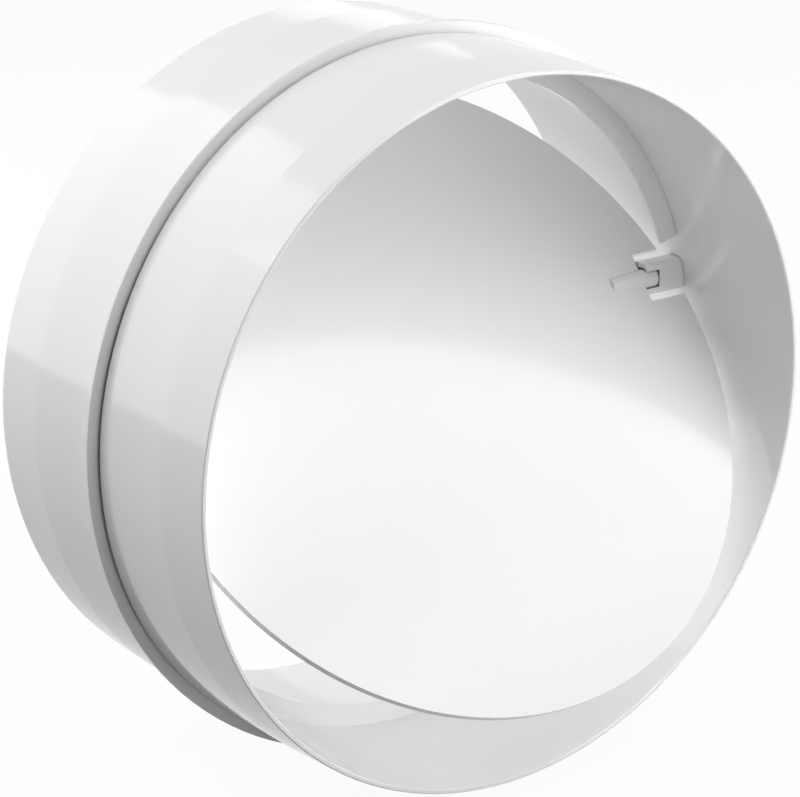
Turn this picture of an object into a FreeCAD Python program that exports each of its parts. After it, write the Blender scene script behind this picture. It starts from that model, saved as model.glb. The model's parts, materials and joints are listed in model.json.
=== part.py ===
"""Duct backdraft damper for a 150 mm round duct: a moulded tube and one gravity flap.

Frame: the tube's axis is Y, +Z is up, the air leaves towards -Y.
The origin is on the axis, in the rear face of the outer rib.
"""
import FreeCAD
import Part
import Sketcher
import os
import re

SIZES = {
    # Tube: two push-in spigots with a rib between them, each with a straight seat and a lead-in
    "seat_radius": 74.5,
    "lead_in_drop": 0.5,
    "lead_in_length": 13.7,
    "spigot_length": 35.5,
    "rib_height": 2.4,
    "rib_width": 1.5,
    "edge_break": 0.25,
    "groove_width": 0.6,
    "groove_depth": 0.8,
    # Wall at the front rim, at the pivot and at the rear rim
    "front_wall": 1.05,
    "middle_wall": 2.3,
    "rear_wall": 1.75,
    # Pivot line of the flap, ahead of the rib's front face and above the tube's axis
    "pivot_ahead": 0.5,
    "pivot_height": 12.9,
    "rest_angle": 39.4,
    # Flap disc, a gap inside the wall; when shut, its centre hangs just below the tube's axis
    "flap_gap": 2.35,
    "flap_half_thickness": 0.75,
    "flap_drop": 0.3,
    # Snap-in bearing blocks on the tube's wall: the pin's bore is open at the front, between two lips
    "block_stand": 11.3,
    "block_half_height": 3.45,
    "block_front": 1.6,
    "block_rear": 2.5,
    "block_root": 0.4,
    "block_edge": 0.5,
    "pin_clearance": 0.05,
    "pin_end_clearance": 0.4,
    "snap_overlap": 0.2,
    "snap_depth": 0.5,
    "mouth_clearance": 0.45,
    "mouth_depth": 0.6,
    # Notches in the flap, clear of the blocks
    "notch_gap": 0.5,
    "notch_clearance": 2.0,
    # Pins of the flap, with tapered bosses that blend them into the disc
    "boss_length": 8.2,
    "boss_small_radius": 1.55,
    "pin_radius": 2.1,
    "pin_tip_break": 0.3,
    "pin_engagement": 3.1,
    # Stop ribs that the shut flap meets: the upper one in front of it, the lower one behind it,
    # each with its ends a gap away from the pivot line
    "stop_height": 4.5,
    "stop_clearance": 0.3,
    "stop_thickness": 0.8,
    "stop_root": 0.6,
    "stop_end_gap": 8.3,
    "lip_width": 1.6,
    "lip_height": 0.85,
    "lip_angle": 117.0,
}

doc = FreeCAD.newDocument("damper")
sheet = doc.addObject("Spreadsheet::Sheet", "Sheet")
for row, (name, value) in enumerate(SIZES.items(), start=1):
    sheet.set("A%d" % row, name)
    sheet.set("B%d" % row, str(value))
    sheet.setAlias("B%d" % row, name)
doc.recompute()


def bound(expression):
    """The expression with every size name pointed at the sheet."""
    def pointed(match):
        return "Sheet." + match[0] if match[0] in SIZES else match[0]
    return re.sub("[a-z_]+", pointed, expression)


def number(distance):
    """The present value of a sum of sizes, where a sketch's geometry is first placed."""
    total = 0.0
    sign = 1.0
    for word in distance.split():
        if word in ("+", "-"):
            sign = 1.0 if word == "+" else -1.0
        else:
            total += sign * SIZES.get(word, 0.0)
    return total


def plane_of(body, role):
    return next(item for item in body.Origin.OriginFeatures if item.Role == role)


def sketch_on(body, name, role, offset="0"):
    """A sketch on one of the body's own planes, moved along the plane's normal by a size."""
    sketch = body.newObject("Sketcher::SketchObject", name)
    sketch.AttachmentSupport = [(plane_of(body, role), "")]
    sketch.MapMode = "FlatFace"
    if offset != "0":
        sketch.setExpression("AttachmentOffset.Base.z", bound(offset))
    return sketch


def drive(sketch, constraint, expression):
    made = sketch.addConstraint(constraint)
    sketch.setExpression("Constraints[%d]" % made, bound(expression))


def place(sketch, item, point, across, height):
    """Hold a point at two distances from the sketch's origin, each a sum of sizes."""
    for kind, axis, distance in (("DistanceX", -2, across), ("DistanceY", -1, height)):
        value = number(distance)
        if distance == "0":
            sketch.addConstraint(Sketcher.Constraint("PointOnObject", item, point, axis))
        elif value > 0:
            drive(sketch, Sketcher.Constraint(kind, -1, 1, item, point, value), distance)
        else:
            other_way = "0 - (%s)" % distance
            drive(sketch, Sketcher.Constraint(kind, item, point, -1, 1, -value), other_way)


def outline(sketch, corners):
    """A closed outline through corners, each a pair of distances from the sketch's origin."""
    points = [FreeCAD.Vector(number(across), number(height), 0) for across, height in corners]
    count = len(points)
    for index in range(count):
        sketch.addGeometry(Part.LineSegment(points[index], points[(index + 1) % count]), False)
    for index in range(count):
        sketch.addConstraint(Sketcher.Constraint("Coincident", index, 2, (index + 1) % count, 1))
    for index, (across, height) in enumerate(corners):
        place(sketch, index, 1, across, height)


def ring(sketch, radius, across, height):
    """A circle with its centre at two distances from the sketch's origin."""
    centre = FreeCAD.Vector(number(across), number(height), 0)
    circle = Part.Circle(centre, FreeCAD.Vector(0, 0, 1), number(radius))
    item = sketch.addGeometry(circle, False)
    drive(sketch, Sketcher.Constraint("Radius", item, number(radius)), radius)
    place(sketch, item, 3, across, height)


def turned(body, kind, name, sketch, axis, angle="360"):
    """A feature turned about an axis of its own sketch, evenly to both sides of its plane."""
    feature = body.newObject(kind, name)
    feature.Profile = sketch
    feature.ReferenceAxis = (sketch, [axis])
    feature.Midplane = angle != "360"
    feature.setExpression("Angle", bound(angle))
    return feature


def straight(body, kind, name, sketch, length, both_ways=False):
    """A pad or pocket along the sketch's normal, or evenly to both sides of its plane."""
    feature = body.newObject(kind, name)
    feature.Profile = sketch
    feature.Midplane = both_ways
    feature.Reversed = kind == "PartDesign::Pocket" and not both_ways
    feature.setExpression("Length", bound(length))
    return feature


def mirrored(body, name, features):
    """The same features on the other side of the upright middle plane."""
    feature = body.newObject("PartDesign::Mirrored", name)
    feature.Originals = features
    feature.MirrorPlane = (plane_of(body, "YZ_Plane"), [""])
    body.Tip = feature
    return feature


# Tube, drawn as a half section with its stations counted from the front rim
rib_front = "spigot_length"
rib_rear = "spigot_length + rib_width"
far_end = "spigot_length + rib_width + spigot_length"
pivot_station = "spigot_length - pivot_ahead"
rim_radius = "seat_radius - lead_in_drop"
rib_radius = "seat_radius + rib_height"
front_bore = rim_radius + " - front_wall"
middle_bore = "seat_radius - middle_wall"
rear_bore = rim_radius + " - rear_wall"
groove_radius = "seat_radius - groove_depth"

tube = doc.addObject("PartDesign::Body", "duct_body")
tube.Label = "duct_body"
section = sketch_on(tube, "tube_section", "XY_Plane")
outline(section, [
    (front_bore + " + edge_break", "0"),
    (rim_radius + " - edge_break", "0"),
    (rim_radius, "edge_break"),
    ("seat_radius", "lead_in_length"),
    ("seat_radius", rib_front),
    (rib_radius + " - edge_break", rib_front),
    (rib_radius, rib_front + " + edge_break"),
    (rib_radius, rib_rear + " - edge_break"),
    (rib_radius + " - edge_break", rib_rear),
    ("seat_radius", rib_rear),
    ("seat_radius", far_end + " - lead_in_length"),
    (rim_radius, far_end + " - edge_break"),
    (rim_radius + " - edge_break", far_end),
    (rear_bore + " + edge_break", far_end),
    (rear_bore, far_end + " - edge_break"),
    (middle_bore, pivot_station),
    (front_bore, "edge_break"),
])
turned(tube, "PartDesign::Revolution", "tube_wall", section, "V_Axis")

# Stop ribs, drawn as small sections on the upright middle plane and turned about the tube's axis
upper_back = pivot_station + " - flap_half_thickness - stop_clearance"
upper_front = upper_back + " - stop_thickness"
lower_front = pivot_station + " + flap_half_thickness + stop_clearance"
lower_back = lower_front + " + stop_thickness"
stop_inner = middle_bore + " - stop_height"
stop_outer = middle_bore + " + stop_root"
lip_outer = stop_inner + " + lip_width"
stop_middle = stop_inner + " + 0.5 * stop_height"
upper_arc = "180 deg - 2 * asin((pivot_height + stop_end_gap) / (%s))" % stop_middle
lower_arc = "180 deg + 2 * asin((pivot_height - stop_end_gap) / (%s))" % stop_middle

upper_section = sketch_on(tube, "upper_stop_section", "YZ_Plane")
outline(upper_section, [
    (upper_front, stop_inner),
    (upper_back, stop_inner),
    (upper_back, stop_outer),
    (upper_front, stop_outer),
])
turned(tube, "PartDesign::Revolution", "upper_stop", upper_section, "H_Axis", upper_arc)

lip_section = sketch_on(tube, "lip_section", "YZ_Plane")
outline(lip_section, [
    (upper_front + " - lip_height", stop_inner),
    (upper_back, stop_inner),
    (upper_back, lip_outer),
    (upper_front + " - lip_height", lip_outer),
])
turned(tube, "PartDesign::Revolution", "stop_lip", lip_section, "H_Axis", "lip_angle")

lower_section = sketch_on(tube, "lower_stop_section", "YZ_Plane")
over = FreeCAD.Rotation(FreeCAD.Vector(1, 0, 0), 180)
lower_section.AttachmentOffset = FreeCAD.Placement(FreeCAD.Vector(), over)
outline(lower_section, [
    (lower_front, stop_inner),
    (lower_back, stop_inner),
    (lower_back, stop_outer),
    (lower_front, stop_outer),
])
turned(tube, "PartDesign::Revolution", "lower_stop", lower_section, "H_Axis", lower_arc)

# Bearing block: grows from the wall towards the flap, with a blind bore for the flap's pin
block_low = "pivot_height - block_half_height"
block_high = "pivot_height + block_half_height"
block_face = pivot_station + " - block_front"
block_back = pivot_station + " + block_rear"
block_inner = middle_bore + " - block_stand"
block_end = "sqrt((%s) ^ 2 - (%s) ^ 2) + block_root" % (middle_bore, block_low)
block_reach = "%s - (%s)" % (block_end, block_inner)
block_section = sketch_on(tube, "block_section", "YZ_Plane", block_inner)
outline(block_section, [
    (block_face + " + block_edge", block_low),
    (block_back + " - block_edge", block_low),
    (block_back, block_low + " + block_edge"),
    (block_back, block_high + " - block_edge"),
    (block_back + " - block_edge", block_high),
    (block_face + " + block_edge", block_high),
    (block_face, block_high + " - block_edge"),
    (block_face, block_low + " + block_edge"),
])
block = straight(tube, "PartDesign::Pad", "bearing_block", block_section, block_reach)

bore_ring = sketch_on(tube, "bearing_ring", "YZ_Plane", block_inner)
ring(bore_ring, "pin_radius + pin_clearance", pivot_station, "pivot_height")
bore_depth = "pin_engagement + pin_end_clearance"
bore = straight(tube, "PartDesign::Pocket", "bearing_bore", bore_ring, bore_depth)

mouth_ring = sketch_on(tube, "mouth_ring", "YZ_Plane", block_inner)
ring(mouth_ring, "pin_radius + mouth_clearance", pivot_station, "pivot_height")
mouth = straight(tube, "PartDesign::Pocket", "bearing_mouth", mouth_ring, "mouth_depth")

# Opening in the block's face, narrower than the pin, so that the pin snaps in from the front
opening_outline = sketch_on(tube, "opening_outline", "XZ_Plane", "0 - (%s)" % block_face)
opening_end = block_inner + " + " + bore_depth
opening_low = "pivot_height - pin_radius + snap_overlap"
opening_high = "pivot_height + pin_radius - snap_overlap"
outline(opening_outline, [
    (block_inner, opening_low),
    (opening_end, opening_low),
    (opening_end, opening_high),
    (block_inner, opening_high),
])
opening = straight(tube, "PartDesign::Pocket", "snap_opening", opening_outline, "2 * snap_depth", True)
mirrored(tube, "other_block", [block, bore, mouth, opening])

# Narrow groove in front of the rib, cut last because the blocks' roots reach into the wall
groove_section = sketch_on(tube, "groove_section", "XY_Plane")
groove_mouth = "seat_radius + edge_break"
outline(groove_section, [
    (groove_radius, rib_front + " - groove_width"),
    (groove_mouth, rib_front + " - groove_width"),
    (groove_mouth, rib_front),
    (groove_radius, rib_front),
])
turned(tube, "PartDesign::Groove", "seam_groove", groove_section, "V_Axis")

# The rib's rear face lies in the frame's origin
tube.setExpression("Placement.Base.y", bound("0 - (spigot_length + rib_width)"))

# Flap, drawn shut with its pivot line on the X axis
flap = doc.addObject("PartDesign::Body", "flap")
flap.Label = "flap"
disc_outline = sketch_on(flap, "disc_outline", "XZ_Plane")
flap_radius = middle_bore + " - flap_gap"
ring(disc_outline, flap_radius, "0", "- pivot_height - flap_drop")
straight(flap, "PartDesign::Pad", "flap_disc", disc_outline, "2 * flap_half_thickness", True)

# Notch in the disc's edge, clear of the bearing block over the whole swing
notch_outline = sketch_on(flap, "notch_outline", "XZ_Plane")
notch_inner = block_inner + " - notch_gap"
notch_outer = flap_radius + " + flap_gap"
notch_high = "block_half_height + notch_clearance"
notch_low = "- block_half_height - notch_clearance"
outline(notch_outline, [
    (notch_inner, notch_low),
    (notch_outer, notch_low),
    (notch_outer, notch_high),
    (notch_inner, notch_high),
])
notch = straight(flap, "PartDesign::Pocket", "notch", notch_outline,
                 "4 * flap_half_thickness", True)

# Tapered boss and pin in one turned shape on the pivot line
pin_section = sketch_on(flap, "pin_section", "XY_Plane")
boss_start = notch_inner + " - boss_length"
pin_end = block_inner + " + pin_engagement"
outline(pin_section, [
    (boss_start, "0"),
    (boss_start, "boss_small_radius"),
    (notch_inner, "pin_radius"),
    (pin_end + " - pin_tip_break", "pin_radius"),
    (pin_end, "pin_radius - pin_tip_break"),
    (pin_end, "0"),
])
pin = turned(flap, "PartDesign::Revolution", "pin", pin_section, "H_Axis")
mirrored(flap, "other_pin", [notch, pin])

# Half open, as the air holds it: the lower half swings out towards the front
flap.Placement = FreeCAD.Placement(
    FreeCAD.Vector(0, -1, 1), FreeCAD.Rotation(FreeCAD.Vector(-1, 0, 0), SIZES["rest_angle"]))
flap.setExpression("Placement.Base.y", bound("0 - (rib_width + pivot_ahead)"))
flap.setExpression("Placement.Base.z", bound("pivot_height"))
flap.setExpression("Placement.Rotation.Angle", bound("rest_angle"))

doc.recompute()
for item in doc.Objects:
    if "Invalid" in item.State or "Error" in item.State:
        raise RuntimeError("%s is in state %s" % (item.Name, item.State))

os.makedirs("parts", exist_ok=True)
for body in (tube, flap):
    if body.Shape.isNull() or not body.Shape.isValid():
        raise RuntimeError("%s has no valid shape" % body.Label)
    body.Shape.exportStep("parts/%s.step" % body.Label)
    box = body.Shape.BoundBox
    print(body.Label, "solids", len(body.Shape.Solids), "volume", round(body.Shape.Volume, 1),
          "x", round(box.XMin, 2), round(box.XMax, 2), "y", round(box.YMin, 2), round(box.YMax, 2),
          "z", round(box.ZMin, 2), round(box.ZMax, 2))
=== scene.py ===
"""Duct backdraft damper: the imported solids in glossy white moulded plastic, on a pale studio floor."""

import json
import math

import bpy
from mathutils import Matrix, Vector

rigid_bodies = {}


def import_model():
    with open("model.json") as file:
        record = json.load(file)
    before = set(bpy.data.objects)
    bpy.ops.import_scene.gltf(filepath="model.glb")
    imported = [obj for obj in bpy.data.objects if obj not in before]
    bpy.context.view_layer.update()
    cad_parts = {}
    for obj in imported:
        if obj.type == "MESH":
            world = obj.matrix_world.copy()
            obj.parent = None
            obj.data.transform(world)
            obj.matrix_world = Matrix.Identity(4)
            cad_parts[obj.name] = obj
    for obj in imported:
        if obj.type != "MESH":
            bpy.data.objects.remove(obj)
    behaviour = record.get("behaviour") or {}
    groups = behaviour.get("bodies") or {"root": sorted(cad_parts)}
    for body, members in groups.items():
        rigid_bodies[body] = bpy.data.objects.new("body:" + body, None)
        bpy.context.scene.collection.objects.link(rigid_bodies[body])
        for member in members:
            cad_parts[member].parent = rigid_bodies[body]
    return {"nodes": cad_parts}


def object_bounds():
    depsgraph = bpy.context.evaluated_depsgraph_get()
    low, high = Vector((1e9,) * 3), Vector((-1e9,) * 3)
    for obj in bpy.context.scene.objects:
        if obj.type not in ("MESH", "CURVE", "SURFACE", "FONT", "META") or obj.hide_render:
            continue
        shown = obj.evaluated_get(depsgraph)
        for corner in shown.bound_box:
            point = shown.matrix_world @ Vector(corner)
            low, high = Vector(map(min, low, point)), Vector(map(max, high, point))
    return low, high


for leftover in list(bpy.data.objects):
    bpy.data.objects.remove(leftover)

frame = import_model()
cad_low, cad_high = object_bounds()
nodes = frame["nodes"]
MM = 0.001


# Materials

PLASTIC_IOR = 1.5
# Unevenness of the moulded skin: slow flow of tone, hazy patches of gloss, and relief of ripple and grain
FLOW_SIZE = 45.0 * MM
HAZE_SIZE = 9.0 * MM
RIPPLE_SIZE = 2.5 * MM
GRAIN_SIZE = 0.35 * MM
TONE_DRIFT = 0.03
RIPPLE_SHARE = 0.7
RELIEF_DEPTH = 0.0015 * MM
# Share of open sky over a point: narrow gaps get painted shade, and open surfaces keep their tone
CREVICE_SHADE_TONE = (0.14, 0.145, 0.142)
CREVICE_SHADE_REACH = 1.6 * MM
SKY_SAMPLES = 4
FULL_SHADE_BELOW = 0.15
NO_SHADE_ABOVE = 0.5
# Height above or below the tube's axis where the painted shade in the gaps begins to fade, and where it is
# gone
SHADE_FADES_FROM = 25.0 * MM
SHADE_GONE_BEYOND = 55.0 * MM


def link(tree, source, target):
    tree.links.new(source, target)


def in_use(sockets, name):
    """The socket of that name that the node's present settings use."""
    return next(socket for socket in sockets if socket.name == name and socket.enabled)


def moulded_skin_group():
    """Tone, gloss and fine relief of an injection-moulded skin, with painted shade greying its crevices."""
    group = bpy.data.node_groups.new("moulded_skin", "ShaderNodeTree")
    sockets = group.interface
    for name, kind in (("Tone", "NodeSocketColor"), ("Tone drift", "NodeSocketFloat"),
                       ("Roughness", "NodeSocketFloat"), ("Roughness drift", "NodeSocketFloat"),
                       ("Crevice shade tone", "NodeSocketColor"), ("Crevice shade reach", "NodeSocketFloat")):
        sockets.new_socket(name, in_out="INPUT", socket_type=kind)
    for name, kind in (("Color", "NodeSocketColor"), ("Roughness", "NodeSocketFloat"),
                       ("Height", "NodeSocketFloat")):
        sockets.new_socket(name, in_out="OUTPUT", socket_type=kind)
    add = group.nodes.new
    inside = add("NodeGroupInput")
    outside = add("NodeGroupOutput")
    place = add("ShaderNodeTexCoord")

    def noise(size, detail):
        node = add("ShaderNodeTexNoise")
        node.inputs["Scale"].default_value = 1.0 / size
        node.inputs["Detail"].default_value = detail
        link(group, place.outputs["Object"], node.inputs["Vector"])
        return node.outputs["Fac"]

    def math_node(operation, *values):
        node = add("ShaderNodeMath")
        node.operation = operation
        for socket, value in zip(node.inputs, values):
            if isinstance(value, float):
                socket.default_value = value
            else:
                link(group, value, socket)
        return node.outputs[0]

    def drift(pattern, amount):
        """The pattern's swing about zero, times the amount."""
        return math_node("MULTIPLY", math_node("SUBTRACT", pattern, 0.5), inside.outputs[amount])

    flow = noise(FLOW_SIZE, detail=2.0)
    haze = noise(HAZE_SIZE, detail=3.0)
    ripple = noise(RIPPLE_SIZE, detail=1.0)
    grain = noise(GRAIN_SIZE, detail=2.0)

    tint = add("ShaderNodeVectorMath")
    tint.operation = "SCALE"
    link(group, inside.outputs["Tone"], tint.inputs[0])
    link(group, math_node("ADD", drift(flow, "Tone drift"), 1.0), tint.inputs["Scale"])

    # Painted shade: the colour is darkened towards the shade tone where little open sky reaches, in narrow
    # gaps and corners
    open_sky = add("ShaderNodeAmbientOcclusion")
    open_sky.samples = SKY_SAMPLES
    link(group, inside.outputs["Crevice shade reach"], open_sky.inputs["Distance"])
    unshaded = add("ShaderNodeMapRange")
    unshaded.interpolation_type = "SMOOTHSTEP"
    unshaded.inputs["From Min"].default_value = FULL_SHADE_BELOW
    unshaded.inputs["From Max"].default_value = NO_SHADE_ABOVE
    link(group, open_sky.outputs["AO"], unshaded.inputs["Value"])

    # The painted shade thins out with height above and below the axis, leaving the gaps lighter at the top
    # and bottom, where light falls into them
    height = add("ShaderNodeSeparateXYZ")
    link(group, place.outputs["Object"], height.inputs[0])
    shade_faded = add("ShaderNodeMapRange")
    shade_faded.inputs["From Min"].default_value = SHADE_FADES_FROM
    shade_faded.inputs["From Max"].default_value = SHADE_GONE_BEYOND
    link(group, math_node("ABSOLUTE", height.outputs["Z"]), shade_faded.inputs["Value"])

    # The painted shade is mixed into the colour, lifted by open sky or by height
    free_of_shade = math_node("MAXIMUM", unshaded.outputs["Result"], shade_faded.outputs["Result"])
    shaded_tone = add("ShaderNodeMix")
    shaded_tone.data_type = "RGBA"
    link(group, free_of_shade, in_use(shaded_tone.inputs, "Factor"))
    link(group, inside.outputs["Crevice shade tone"], in_use(shaded_tone.inputs, "A"))
    link(group, tint.outputs[0], in_use(shaded_tone.inputs, "B"))
    link(group, in_use(shaded_tone.outputs, "Result"), outside.inputs["Color"])

    roughness = math_node("ADD", inside.outputs["Roughness"], drift(haze, "Roughness drift"))
    link(group, roughness, outside.inputs["Roughness"])

    relief = math_node("ADD", math_node("MULTIPLY", ripple, RIPPLE_SHARE),
                       math_node("MULTIPLY", grain, 1.0 - RIPPLE_SHARE))
    link(group, relief, outside.inputs["Height"])
    return group


def plastic(name, skin, tone, roughness, roughness_drift):
    material = bpy.data.materials.new(name)
    material.use_nodes = True
    tree = material.node_tree
    shader = tree.nodes["Principled BSDF"]
    shader.inputs["IOR"].default_value = PLASTIC_IOR
    surface = tree.nodes.new("ShaderNodeGroup")
    surface.node_tree = skin
    surface.inputs["Tone"].default_value = (*tone, 1.0)
    surface.inputs["Tone drift"].default_value = TONE_DRIFT
    surface.inputs["Roughness"].default_value = roughness
    surface.inputs["Roughness drift"].default_value = roughness_drift
    # Tone and reach of the painted crevice shade
    surface.inputs["Crevice shade tone"].default_value = (*CREVICE_SHADE_TONE, 1.0)
    surface.inputs["Crevice shade reach"].default_value = CREVICE_SHADE_REACH
    bump = tree.nodes.new("ShaderNodeBump")
    bump.inputs["Strength"].default_value = 1.0
    bump.inputs["Distance"].default_value = RELIEF_DEPTH
    link(tree, surface.outputs["Color"], shader.inputs["Base Color"])
    link(tree, surface.outputs["Roughness"], shader.inputs["Roughness"])
    link(tree, surface.outputs["Height"], bump.inputs["Height"])
    link(tree, bump.outputs["Normal"], shader.inputs["Normal"])
    return material


moulded_skin = moulded_skin_group()
finishes = {
    "duct_body": plastic("tube_plastic", moulded_skin, tone=(0.86, 0.87, 0.865),
                         roughness=0.11, roughness_drift=0.05),
    "flap": plastic("flap_plastic", moulded_skin, tone=(0.87, 0.875, 0.87),
                    roughness=0.16, roughness_drift=0.06),
}
for name, finish in finishes.items():
    nodes[name].data.materials.clear()
    nodes[name].data.materials.append(finish)


# Studio

FLOOR_Z = cad_low.z
FLOOR_SIZE = 6.0
# The floor is pale to the eye, and passes on less light than that to the tube's underside
FLOOR_PALE_TONE = 0.9
FLOOR_BOUNCE_TONE = 0.25
FLOOR_WHITE_SHARE = 0.95


def seen_directly(tree):
    """1 for rays from the camera and for mirror and clear rays, 0 for the light that is passed on."""
    path = tree.nodes.new("ShaderNodeLightPath")
    total = path.outputs["Is Camera Ray"]
    for name in ("Is Glossy Ray", "Is Transmission Ray"):
        either = tree.nodes.new("ShaderNodeMath")
        either.operation = "MAXIMUM"
        link(tree, total, either.inputs[0])
        link(tree, path.outputs[name], either.inputs[1])
        total = either.outputs[0]
    return total


def pale_floor():
    mesh = bpy.data.meshes.new("studio_floor")
    half = FLOOR_SIZE / 2
    corners = [(x * half, y * half, FLOOR_Z) for x, y in ((-1, -1), (1, -1), (1, 1), (-1, 1))]
    mesh.from_pydata(corners, [], [(0, 1, 2, 3)])
    floor = bpy.data.objects.new("studio_floor", mesh)
    bpy.context.scene.collection.objects.link(floor)
    material = bpy.data.materials.new("pale_floor")
    material.use_nodes = True
    tree = material.node_tree
    tree.nodes.clear()
    seen = seen_directly(tree)
    tone = tree.nodes.new("ShaderNodeMath")
    tone.operation = "MULTIPLY_ADD"
    tone.inputs[1].default_value = FLOOR_PALE_TONE - FLOOR_BOUNCE_TONE
    tone.inputs[2].default_value = FLOOR_BOUNCE_TONE
    share = tree.nodes.new("ShaderNodeMath")
    share.operation = "MULTIPLY"
    share.inputs[1].default_value = FLOOR_WHITE_SHARE
    for amount in (tone, share):
        link(tree, seen, amount.inputs[0])
    matt = tree.nodes.new("ShaderNodeBsdfDiffuse")
    link(tree, tone.outputs[0], matt.inputs["Color"])
    white = tree.nodes.new("ShaderNodeEmission")
    blend = tree.nodes.new("ShaderNodeMixShader")
    out = tree.nodes.new("ShaderNodeOutputMaterial")
    link(tree, share.outputs[0], blend.inputs["Fac"])
    link(tree, matt.outputs[0], blend.inputs[1])
    link(tree, white.outputs[0], blend.inputs[2])
    link(tree, blend.outputs[0], out.inputs["Surface"])
    mesh.materials.append(material)


def white_world():
    """White where it is seen or mirrored; the panels alone light the tube."""
    world = bpy.data.worlds.new("studio_air")
    bpy.context.scene.world = world
    world.use_nodes = True
    tree = world.node_tree
    tree.nodes.clear()
    white = tree.nodes.new("ShaderNodeBackground")
    white.inputs["Color"].default_value = (1.0, 1.0, 1.0, 1.0)
    out = tree.nodes.new("ShaderNodeOutputWorld")
    link(tree, seen_directly(tree), white.inputs["Strength"])
    link(tree, white.outputs[0], out.inputs["Surface"])


def soft_panel(name, azimuth, distance, low, high, width, brightness, lean=0.0):
    """A diffusing panel that faces the tube, upright or leaning over it; a brightness of 1 is white.

    The azimuth is counted from straight in front of the outlet, towards +X.
    """
    height = high - low
    lamp = bpy.data.lights.new(name, "AREA")
    lamp.shape = "RECTANGLE"
    lamp.size = width
    lamp.size_y = height
    lamp.energy = math.pi * width * height * brightness
    turn = math.radians(azimuth)
    tilt = math.radians(lean)
    outward = Vector((math.sin(turn), -math.cos(turn), 0.0))
    facing = -outward * math.cos(tilt) - Vector((0.0, 0.0, math.sin(tilt)))
    panel = bpy.data.objects.new(name, lamp)
    panel.location = outward * distance + Vector((0.0, 0.0, (low + high) / 2))
    panel.rotation_mode = "QUATERNION"
    panel.rotation_quaternion = facing.to_track_quat("-Z", "Y")
    panel.visible_camera = False
    bpy.context.scene.collection.objects.link(panel)


ROOF_DISTANCE = 0.44
ROOF_LOW = 0.35
ROOF_HIGH = 0.69
ROOF_LEAN = 50.0


def roof_panel(name, azimuth, width, brightness):
    soft_panel(name, azimuth, ROOF_DISTANCE, ROOF_LOW, ROOF_HIGH, width, brightness, lean=ROOF_LEAN)


pale_floor()
white_world()
# The edges of the rear panels draw the borders that the glossy tube mirrors at its left and top
soft_panel("rear_left_wall", azimuth=212, distance=0.78, low=FLOOR_Z, high=0.75, width=0.95, brightness=1.35)
roof_panel("rear_left_roof", azimuth=245, width=0.6, brightness=4.3)
soft_panel("rear_right_wall", azimuth=147, distance=0.85, low=0.12, high=0.33, width=0.16, brightness=0.5)
soft_panel("right_wall", azimuth=100, distance=0.6, low=FLOOR_Z, high=0.35, width=0.5, brightness=1.2)
# The front panels light the flap, which the tube's upper wall leaves in soft shade above its middle
soft_panel("front_right_wall", azimuth=40, distance=0.55, low=FLOOR_Z, high=0.25, width=0.5, brightness=3.5)
soft_panel("front_wall", azimuth=0, distance=0.55, low=FLOOR_Z, high=0.06, width=0.4, brightness=2.8)
roof_panel("front_roof", azimuth=24, width=0.72, brightness=2.5)
# Light that comes through the tube from behind, past the flap's edges
soft_panel("rear_wall", azimuth=186, distance=0.55, low=FLOOR_Z, high=0.1, width=0.3, brightness=7.0)


# Camera: where the photograph was taken from, aimed at the front face of the rib

CAMERA_AZIMUTH = math.radians(-36.386)
CAMERA_ELEVATION = math.radians(19.154)
CAMERA_DISTANCE = 0.76534
FOCAL_LENGTH_IN_PIXELS = 3750.7
IMAGE_WIDTH = 800
IMAGE_HEIGHT = 797
CENTRE_OF_VIEW_PIXEL = (409.19, 391.88)
RIB_WIDTH = 1.5 * MM


def photo_camera():
    data = bpy.data.cameras.new("photo_camera")
    data.lens = FOCAL_LENGTH_IN_PIXELS / IMAGE_WIDTH * data.sensor_width
    data.shift_x = (IMAGE_WIDTH / 2 - CENTRE_OF_VIEW_PIXEL[0]) / IMAGE_WIDTH
    data.shift_y = (CENTRE_OF_VIEW_PIXEL[1] - IMAGE_HEIGHT / 2) / IMAGE_WIDTH
    camera = bpy.data.objects.new("photo_camera", data)
    level = math.cos(CAMERA_ELEVATION)
    back = Vector((math.sin(CAMERA_AZIMUTH) * level, -math.cos(CAMERA_AZIMUTH) * level,
                   math.sin(CAMERA_ELEVATION)))
    camera.location = Vector((0.0, -RIB_WIDTH, 0.0)) + back * CAMERA_DISTANCE
    camera.rotation_mode = "QUATERNION"
    camera.rotation_quaternion = back.to_track_quat("Z", "Y")
    bpy.context.scene.collection.objects.link(camera)
    bpy.context.scene.camera = camera


photo_camera()
bpy.context.scene.view_settings.view_transform = "Standard"
